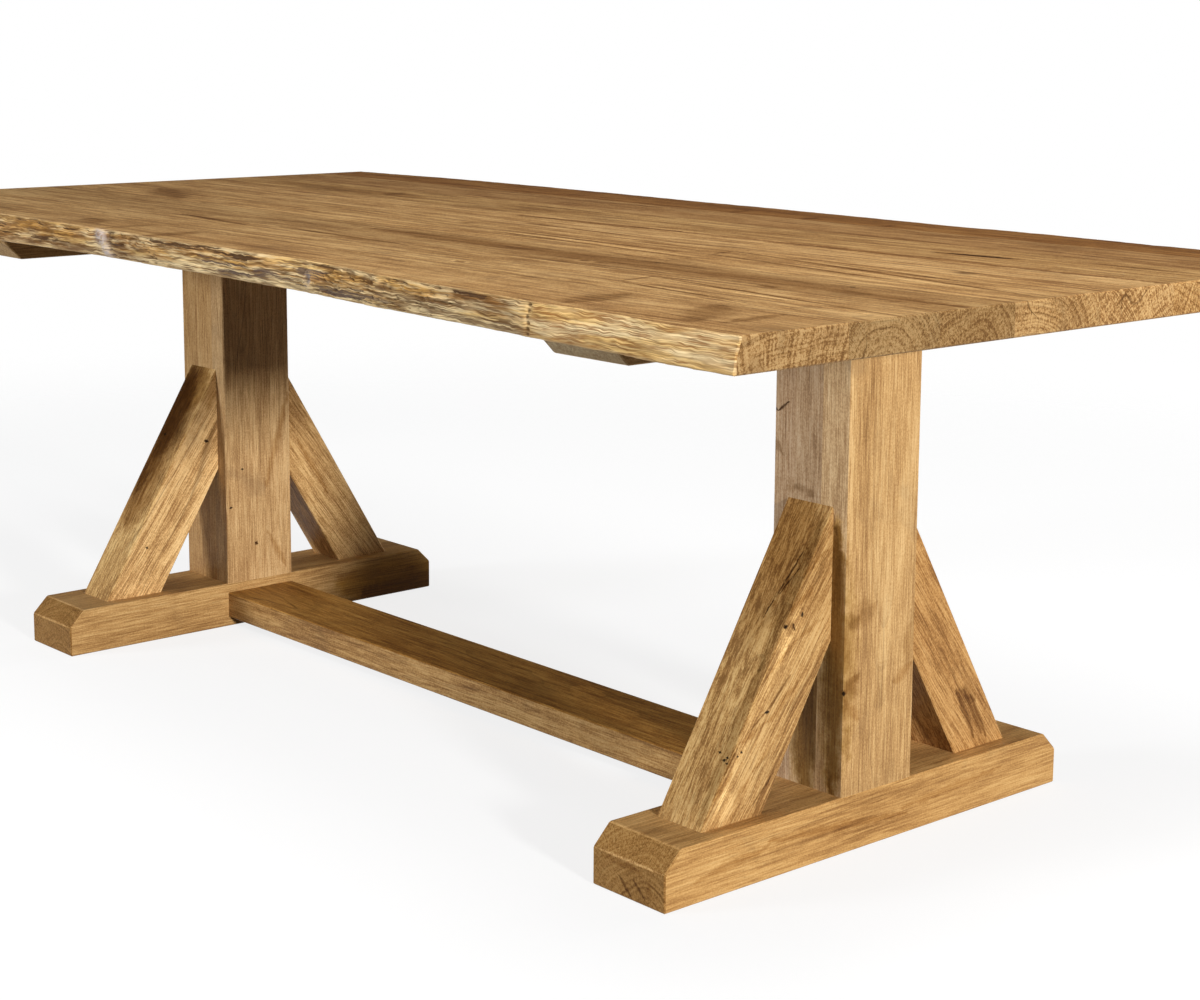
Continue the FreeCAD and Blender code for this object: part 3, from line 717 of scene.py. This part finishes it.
@dataclass
class LiveEdge:
    """Places along one natural edge, as X, and down its face, as a share of its height."""

    seed: float
    collars: list
    knots: list
    dents: list
    cracked: list
    golden: list
    runs: dict

    def wave(self, x):
        """Slow wander of the whole face."""
        return edge_wave * (waver(x * 7.0, 0.0, self.seed) + 0.45 * waver(x * 21.0, 3.0, self.seed))

    def nibble(self, x):
        """Uneven rounding of the upper and lower edge."""
        return 1.0 + 1.1 * max(waver(x * 38.0, 7.0, self.seed, 3), -0.6)

    def relief(self, x, depth, height):
        """Height of the wood's own relief, out of the face."""
        level = depth / height
        out = edge_lumps * waver(x * 34.0, depth * 70.0, self.seed + 5, 2)
        out += edge_fibres * waver(x * 30.0, depth * 420.0, self.seed + 9, 3)
        crack = 1 - abs(waver(x * 15.0, depth * 190.0, self.seed + 13, 3)) * 5
        out -= edge_cracks * rise(crack, 0.45, 0.95) * self.share_in(self.cracked, x)
        for place, slant in self.collars:
            aside = x - place - slant * depth
            out += collar_rise * bell(aside, collar_width)
            out -= collar_trough * bell(aside - trough_aside, trough_width)
        for place, share, size in self.knots:
            apart = math.hypot(x - place, depth - share * height)
            out += knot_rim * bell(apart - size, 0.35 * size)
            out -= knot_hollow * bell(apart, 0.5 * size)
        for place, count in self.dents:
            for index in range(count):
                share = (index + 0.6) / count
                aside = x - place - dent_stray * math.sin(index * 2.3)
                apart = math.hypot(aside / 1.5, depth - share * height)
                out -= dent_depth * bell(apart, dent_radius)
        return out * (0.55 + 0.45 * rise(min(level, 1 - level), 0.0, 0.12))

    def run(self, kind, x, level):
        """Share of a kind of discoloured wood: start, stop, level of its middle, spread."""
        most = 0.0
        for start, stop, share, spread in self.runs[kind]:
            inside = rise(x, start, start + run_fade) * (1 - rise(x, stop - run_fade, stop))
            drift = 0.10 * waver(x * 14.0, 0.0, self.seed + 17, 2)
            ragged = rise(waver(x * 13.0, level * 4.0, self.seed + 21, 2), -0.75, 0.0)
            most = max(most, inside * ragged * bell(level - share - drift, spread))
        return most

    def pale(self, x, depth, height):
        """Share of the pale lilac: painted highlight on the collars, pale wood round the knots."""
        shares = [bell(x - place - slant * depth, collar_width) for place, slant in self.collars]
        shares += [0.7 * bell(math.hypot(x - place, depth - share * height), 0.8 * size)
                   for place, share, size in self.knots]
        return max(shares)

    def share_in(self, stretches, x):
        """How far a place lies in one of the stretches, each from a start to a stop."""
        return max(rise(x, start - stretch_fade, start + stretch_fade)
                   * (1 - rise(x, stop - stretch_fade, stop + stretch_fade))
                   for start, stop in stretches)


live_edges = {
    "front_live_edge_plank": LiveEdge(
        seed=1.5, collars=[(-0.312, 0.75), (-0.90, -0.15)],
        knots=[(0.268, 0.55, 0.010), (-0.72, 0.45, 0.013)], dents=[(0.766, 6)],
        cracked=[(-0.30, -0.12), (0.27, 0.62)], golden=[(0.76, 1.20)],
        runs={"dark": [(-0.20, 0.17, 0.17, 0.17), (0.58, 0.72, 0.14, 0.10), (0.24, 0.56, 0.06, 0.05),
                       (-0.31, -0.20, 0.62, 0.22), (-0.70, -0.58, 0.45, 0.40),
                       (-0.66, -0.34, 0.10, 0.07), (-0.70, -0.36, 0.62, 0.16),
                       (-1.05, -0.80, 0.30, 0.16)],
              "grey": [(-0.06, 0.30, 0.64, 0.24), (0.26, 0.50, 0.72, 0.18), (0.20, 0.34, 0.35, 0.25)],
              "amber": [(0.28, 0.60, 0.24, 0.21), (-0.60, -0.36, 0.28, 0.20), (-0.16, 0.14, 0.42, 0.10),
                        (-0.50, -0.36, 0.20, 0.20), (-1.0, -0.75, 0.25, 0.20)],
              "brown": [(-1.20, -0.33, 0.50, 0.80), (-0.30, -0.16, 0.50, 0.60), (0.57, 0.76, 0.20, 0.17)],
              "cream": [(0.86, 1.14, 0.20, 0.20), (-0.10, 0.06, 0.66, 0.20), (0.42, 0.56, 0.45, 0.20),
                        (0.48, 0.78, 0.76, 0.30)]}),
    "back_live_edge_plank": LiveEdge(
        seed=31.5, collars=[(0.52, -0.20)], knots=[(-0.35, 0.50, 0.012), (0.81, 0.40, 0.010)],
        dents=[(0.12, 5)], cracked=[(-0.80, -0.30), (0.55, 0.90)],
        golden=[(-1.20, -0.75), (0.05, 0.22)],
        runs={"dark": [(-0.66, -0.20, 0.20, 0.17), (0.30, 0.52, 0.26, 0.16), (0.82, 1.06, 0.20, 0.18)],
              "grey": [(-0.60, -0.05, 0.62, 0.25), (0.34, 0.72, 0.66, 0.24)],
              "amber": [(-0.30, 0.02, 0.30, 0.20), (0.56, 0.82, 0.24, 0.18)],
              "brown": [(-0.70, -0.10, 0.50, 0.70), (0.60, 0.95, 0.50, 0.60)],
              "cream": [(-1.14, -0.90, 0.25, 0.20), (0.10, 0.26, 0.60, 0.25)]})}


def face_rows(height):
    """Depths below the top down a live edge, with the inset of its rounded upper and lower edge."""
    rows = []
    for index in range(edge_round_rows):
        turn = math.pi / 2 * index / edge_round_rows
        rows.append((edge_round * (1 - math.cos(turn)), edge_round * (1 - math.sin(turn))))
    plain = height - 2 * edge_round
    for index in range(edge_rows + 1):
        rows.append((edge_round + plain * index / edge_rows, 0.0))
    return rows + [(height - depth, inset) for depth, inset in reversed(rows[:edge_round_rows])]


def live_edge_mesh(name, edge):
    """Plank whose bark side follows the CAD face, with the wood's own relief on it."""
    source = nodes[name].data
    low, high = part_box(name)
    side = -1 if low.y + high.y < 0 else 1
    joint = high.y if side < 0 else low.y
    limit = abs(low.y if side < 0 else high.y)
    height = high.z - low.z
    cad_face = BVHTree.FromPolygons([v.co for v in source.vertices],
                                    [p.vertices for p in source.polygons])

    def reach_at(x, z):
        inner_x = min(max(x, low.x + cast_margin), high.x - cast_margin)
        inner_z = min(max(z, low.z + cast_margin), high.z - cast_margin)
        hit = cad_face.ray_cast(Vector((inner_x, side * 2 * limit, inner_z)), Vector((0, -side, 0)))
        return abs(hit[0].y)

    length = high.x - low.x - 2 * end_arris
    steps = round(length / edge_step)
    stations = [low.x + end_arris + length * index / steps for index in range(steps + 1)]
    stations = [low.x] + stations + [high.x]
    rows = face_rows(height)
    points = []
    traits = {title: [] for title in ("level", "hollow", "gold", "pale", *edge.runs)}

    def add_point(x, y, z, **given):
        points.append((x, y, z))
        for title, values in traits.items():
            values.append(given.get(title, 0.0))

    for x in stations:
        trim = end_arris if x in (low.x, high.x) else 0.0
        add_point(x, joint, high.z - trim)
        for depth, inset in rows:
            z = high.z - depth
            relief = edge.relief(x, depth, height)
            reach = min(reach_at(x, z) + edge.wave(x) + relief, limit - trim)
            reach -= inset * edge.nibble(x) + trim
            share = depth / height
            add_point(x, side * reach, min(max(z, low.z + trim), high.z - trim), level=share,
                      hollow=min(max(0.35 - relief / relief_scale, 0.0), 2.0),
                      gold=edge.share_in(edge.golden, x), pale=edge.pale(x, depth, height),
                      **{kind: edge.run(kind, x, share) for kind in edge.runs})
        add_point(x, joint, low.z + trim)
    ring = len(rows) + 2
    quads, bark = [], []
    for station in range(len(stations) - 1):
        for row in range(ring):
            here = station * ring + row
            beside = station * ring + (row + 1) % ring
            quads.append((here, beside, beside + ring, here + ring))
            bark.append(1.0 if 1 < row < len(rows) - 1 else 0.0)
    last = (len(stations) - 1) * ring
    caps = [tuple(range(ring - 1, -1, -1)), tuple(range(last, last + ring))]
    mesh = bpy.data.meshes.new(name + "_detailed")
    mesh.from_pydata(points, [], quads + caps)
    mesh.attributes.new("bark", "FLOAT", "FACE").data.foreach_set("value", bark + [0.0, 0.0])
    for title, values in traits.items():
        mesh.attributes.new(title, "FLOAT", "POINT").data.foreach_set("value", values)
    tidy_normals(mesh)
    return mesh


def tidy_normals(mesh):
    """Outward normals, with smooth shading that breaks at the sawn edges."""
    work = bmesh.new()
    work.from_mesh(mesh)
    bmesh.ops.recalc_face_normals(work, faces=work.faces)
    work.to_mesh(mesh)
    work.free()
    mesh.shade_smooth()
    mesh.set_sharp_from_angle(angle=math.radians(40))


def bark_colours(g):
    """Colour, roughness and height of the wood that lay under the bark."""
    spot = g.node("TexCoord").outputs["Object"]
    level, hollow, gold, pale, dark, grey, amber, brown, cream = (
        g.node("Attribute", attribute_name=title).outputs["Fac"]
        for title in "level hollow gold pale dark grey amber brown cream".split())
    plain = g.math("SUBTRACT", 1.0, gold)

    def patch(stretch, low, high, share):
        """Share of a colour in long patches, away from the golden stretches."""
        spread = g.step(g.noise(spot, stretch, 4.0, 0.6, 0.3), low, high, 0.0, share)
        return g.math("MULTIPLY", spread, plain)

    def torn(stretch, run, most, share):
        """Share of a colour in streaks that the fibres tear, denser where the run is strong."""
        start = g.math("SUBTRACT", 0.66, g.math("MULTIPLY", run, 0.66 - most))
        streaks = g.step(g.noise(wavy, stretch, 5.0, 0.68, 0.2), start, g.math("ADD", start, 0.03))
        return g.math("MULTIPLY", streaks, g.step(run, 0.05, 0.30, 0.0, share))

    ground = g.noise(spot, (5, 25, 75), 3.0)
    golden = g.mix(g.step(ground, 0.36, 0.54), bark_cream, bark_gold)
    colour = g.mix(plain, golden, g.mix(g.step(ground, 0.42, 0.60), bark_tan, bark_gold))
    colour = g.mix(patch((6, 30, 110), 0.46, 0.62, 0.65), colour, bark_brown)
    colour = g.mix(patch((9, 30, 190), 0.48, 0.58, 0.90), colour, bark_cream)
    foot = g.math("MULTIPLY", g.step(level, 0.60, 0.84), patch((7, 20, 90), 0.36, 0.54, 0.70))
    colour = g.mix(foot, colour, bark_cream)
    colour = g.mix(g.math("MULTIPLY", cream, 0.85), colour, bark_cream)
    drab = g.step(g.noise(spot, (16, 40, 150), 4.0, 0.7), 0.36, 0.58, 0.35, 1.0)
    colour = g.mix(g.math("MULTIPLY", brown, drab), colour, bark_brown)
    colour = g.mix(g.math("MULTIPLY", amber, 0.85), colour, bark_amber)

    # Fibres, wavy lines between them, and discoloured streaks
    sway = g.vector("MULTIPLY", g.stray(spot, (45, 20, 70), 1.0), (0.0, 0.0, 0.006))
    wavy = g.vector("ADD", spot, sway)
    fibres = g.noise(wavy, (9, 50, 260), 3.0, 0.60, 0.3)
    waves = g.math("MAXIMUM", g.thread(g.noise(wavy, (7, 30, 260), 1.0), 0.095),
                   g.thread(g.noise(wavy, (11, 40, 390), 1.0), 0.120))
    breaks = g.step(g.noise(spot, (22, 30, 110), 2.0), 0.36, 0.54,
                    g.step(gold, 0.0, 1.0, 0.25, 0.60), 1.0)
    waves = g.math("MULTIPLY", waves, breaks)
    lined = g.step(g.noise(spot, (9, 20, 60), 2.0), 0.36, 0.60, 0.20, 0.75)
    ink = g.mix(gold, bark_line, bark_rust)
    lined = g.math("MULTIPLY", lined, g.step(gold, 0.0, 1.0, 1.0, 0.28))
    colour = g.mix(g.math("MULTIPLY", g.step(fibres, 0.53, 0.56), lined), colour, ink)
    light = g.math("SUBTRACT", 0.55, g.math("MULTIPLY", g.math("MAXIMUM", brown, gold), 0.40))
    colour = g.mix(g.math("MULTIPLY", g.step(fibres, 0.46, 0.38), light), colour, bark_cream)
    colour = g.mix(g.math("MULTIPLY", waves, 0.85), colour, ink)
    # Painted shade: darker in the hollows of the relief, its cracks, dents and the middles of the knots
    colour = g.mix(g.step(hollow, 0.50, 1.0, 0.0, 0.50), colour, bark_dark)
    colour = g.mix(g.step(hollow, 1.15, 1.45, 0.0, 0.80), colour, bark_dark)
    colour = g.mix(torn((9, 50, 300), grey, 0.48, 0.85), colour, bark_grey)
    colour = g.mix(torn((7, 40, 250), dark, 0.47, 0.90), colour, bark_dark)
    mottle = g.step(g.noise(spot, (120, 120, 160), 3.0), 0.35, 0.60, 0.30, 0.90)
    # Pale lilac, mottled: painted highlight on the collars' ridges, pale wood round the knots
    colour = g.mix(g.math("MULTIPLY", pale, mottle), colour, bark_lilac)
    # Painted highlight: paler along the rounded upper and lower edges
    rim_highlight = g.math("MAXIMUM", g.step(level, 0.02, 0.08, 0.40, 0.0), g.step(level, 0.93, 0.98, 0.0, 0.50))
    colour = g.mix(rim_highlight, colour, wood_pale)
    rough = g.math("ADD", 0.48, g.math("MULTIPLY", hollow, 0.25))
    height = g.math("SUBTRACT", fibres, g.math("MULTIPLY", waves, 0.4))
    return colour, rough, height


def live_edge_material(name, **board):
    made, g = new_material(name + "_wood")
    wood = board_nodes(g, name, grain=along_x, across=along_y, **board)
    bark = g.node("Attribute", attribute_name="bark").outputs["Fac"]
    colour, rough, height = bark_colours(g)

    def choose(first, second):
        return g.node("Mix", {0: bark, 2: first, 3: second}).outputs[0]

    sawn = lay_marks(g, wood["Color"], board_marks.get(name))
    finish_material(g, g.mix(bark, sawn, colour), choose(wood["Roughness"], rough),
                    choose(wood["Height"], height))
    return made


live_boards = {
    "front_live_edge_plank": dict(top_figure, pith=(0.03, -0.50), seed=1.0, figure=0.45,
                                  tint=(0.91, 0.87, 0.82), streak=1.7),
    "back_live_edge_plank": dict(top_figure, pith=(-0.06, -0.10), seed=8.0, figure=0.45,
                                 tint=(0.55, 0.41, 0.28))}


def dress_live_edges():
    for name, board in live_boards.items():
        plank = add_object(name + "_detailed", live_edge_mesh(name, live_edges[name]))
        plank.data.materials.append(live_edge_material(name, **board))
        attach(plank, "root")
        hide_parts(name)


def steel_material():
    """Zinc-plated steel with fine turning marks and a dull bloom."""
    made, g = new_material("zinc_steel")
    spot = g.node("TexCoord").outputs["Object"]
    bloom = g.noise(spot, (160, 160, 160), 4.0, 0.6)
    turned = g.noise(spot, (90, 90, 2600), 2.0)
    colour = g.ramp(bloom, [(0.3, tuple(0.7 * c for c in steel_colour)), (0.7, steel_colour)])
    rough = g.math("ADD", 0.26, g.math("MULTIPLY", bloom, 0.22))
    finish_material(g, colour, rough, turned, steel_bump, 0.6, steel_shine)
    return made


def dress_fasteners():
    steel = steel_material()
    for side in ("right", "left"):
        for part in ("post_foot_lags", "post_bearer_lags", "brace_lags", "stretcher_screws",
                     "top_screws", "top_washers"):
            dress(side + "_" + part, steel)


# Studio
def make_camera():
    data = bpy.data.cameras.new("camera")
    data.sensor_fit = "HORIZONTAL"
    data.sensor_width = camera_sensor
    data.lens = camera_lens
    data.shift_y = camera_shift
    camera = add_object("camera", data)
    camera.matrix_world = (Matrix.Translation(camera_place)
                           @ Matrix.Rotation(camera_turn, 4, "Z")
                           @ Matrix.Rotation(math.pi / 2 - camera_dip, 4, "X")
                           @ Matrix.Rotation(camera_roll, 4, "Z"))
    bpy.context.scene.camera = camera


def make_surround():
    """White to the camera. Reflections see a white ceiling above dark drapes, against glare."""
    world = bpy.data.worlds.new("surround")
    bpy.context.scene.world = world
    world.use_nodes = True
    world.node_tree.nodes.clear()
    g = Graph(world.node_tree)
    path = g.node("LightPath").outputs
    seen = g.math("MAXIMUM", path["Is Camera Ray"], path["Is Transmission Ray"])
    _, _, upward = g.split(g.node("TexCoord").outputs["Generated"])
    drapes = g.step(upward, drape_foot, drape_top, drape_level, 1.0)
    level = g.math("MAXIMUM", seen, g.math("MULTIPLY", path["Is Glossy Ray"], drapes))
    level = g.math("MAXIMUM", level, g.math("MULTIPLY", path["Is Diffuse Ray"], surround_light))
    shader = g.node("Background", {"Color": (1, 1, 1), "Strength": level})
    g.feed(g.node("OutputWorld").inputs["Surface"], shader.outputs[0])


def make_floor():
    mesh = bpy.data.meshes.new("floor")
    corners = [(x * floor_reach, y * floor_reach, floor_level)
               for x, y in ((-1, -1), (1, -1), (1, 1), (-1, 1))]
    mesh.from_pydata(corners, [], [(0, 1, 2, 3)])
    floor = add_object("floor", mesh)
    made, g = new_material("floor")
    spot = g.node("TexCoord").outputs["Object"]
    fade = g.step(g.vector("LENGTH", spot), floor_clear_radius, floor_fade_radius)
    fade = g.math("MAXIMUM", fade, g.node("NewGeometry").outputs["Backfacing"])
    paper = g.node("BsdfDiffuse", {"Color": floor_colour})
    path = g.node("LightPath").outputs
    seen = g.math("MAXIMUM", path["Is Camera Ray"],
                  g.math("MAXIMUM", path["Is Glossy Ray"], path["Is Transmission Ray"]))
    glow = g.node("Emission", {"Color": (1, 1, 1), "Strength": g.math("MULTIPLY", seen, floor_glow)})
    lit = g.node("AddShader", {0: paper.outputs[0], 1: glow.outputs[0]})
    clear = g.node("BsdfTransparent")
    shader = g.node("MixShader", {0: fade, 1: lit.outputs[0], 2: clear.outputs[0]})
    g.feed(g.node("OutputMaterial").inputs["Surface"], shader.outputs[0])
    mesh.materials.append(made)


def softbox(name, place, aim, size, power, colour=(1, 1, 1)):
    """Area lamp. It is kept out of reflections, because it would glare on the top from its far side."""
    data = bpy.data.lights.new(name, "AREA")
    data.shape = "RECTANGLE"
    data.size, data.size_y = size
    data.energy = power
    data.color = colour
    lamp = add_object(name, data)
    lamp.location = place
    lamp.rotation_euler = (Vector(aim) - Vector(place)).to_track_quat("-Z", "Y").to_euler()
    lamp.visible_glossy = False


def make_lights():
    softbox("key", (9.95, -1.90, 2.40), (-0.3, 0.0, 0.45), (1.1, 0.8), 1190.0)
    softbox("fill", (-3.9, -8.8, 2.0), (0.0, 0.0, 0.5), (2.4, 2.0), 670.0, (0.95, 1.00, 1.08))
    softbox("overhead", (1.2, -0.4, 3.3), (0.5, 0.0, 0.7), (1.8, 1.4), 56.0)
    softbox("back", (1.0, 6.0, 2.6), (0.0, 0.0, 0.5), (2.0, 1.4), 60.0)
    softbox("side", (-6.0, -2.4, 2.2), (0.0, 0.0, 0.5), (2.0, 1.4), 30.0)
    softbox("rear", (-2.0, 6.0, 0.6), (0.0, 0.0, 0.5), (2.0, 1.0), 130.0)
    softbox("left", (-6.0, 1.4, 0.6), (0.0, 0.0, 0.5), (2.0, 1.0), 90.0)


dress_top()
dress_base()
dress_fasteners()
dress_live_edges()
make_camera()
make_surround()
make_floor()
make_lights()
bpy.context.scene.view_settings.view_transform = "Standard"
